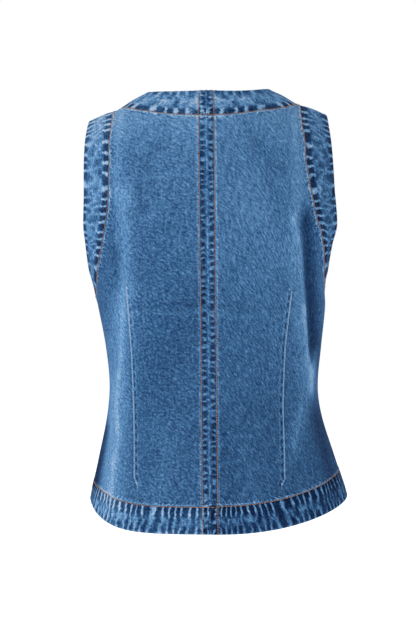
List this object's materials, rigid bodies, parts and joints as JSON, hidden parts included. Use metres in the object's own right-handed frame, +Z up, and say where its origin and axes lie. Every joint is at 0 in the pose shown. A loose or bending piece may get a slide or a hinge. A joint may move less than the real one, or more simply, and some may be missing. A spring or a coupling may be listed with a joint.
{
  "type": "denim vest",
  "caption": "Sleeveless denim vest, filled out as worn and hollow, with topstitched doubled bands, a centre-back seam, back darts and a plain buttoned V-neck front.",
  "frame": {"origin": "midway between the shoulders, about the middle height of the shoulder seams, where a wearer carries the vest", "axes": "+Z up, from the hem to the neck; -Y to the front and +Y to the back; +X to the wearer's left"},
  "size_m": [0.3604, 0.2523, 0.5973],
  "materials": {
    "denim": "stonewashed mid-blue denim, twill weave, matt",
    "band_denim": "stonewashed denim, darker at the doubled edges, matt",
    "button_metal": "plain aged metal, satin"
  },
  "bodies": {
    "root": {"back_left": "denim", "back_right": "denim", "front_left": "denim", "front_right": "denim", "neck_facing": "band_denim", "front_facing_left": "band_denim", "front_facing_right": "band_denim", "armhole_facing_left": "band_denim", "armhole_facing_right": "band_denim", "hem_facing": "band_denim", "button_1": "button_metal", "button_2": "button_metal", "button_3": "button_metal", "button_4": "button_metal", "button_5": "button_metal"}
  },
  "joints": []
}
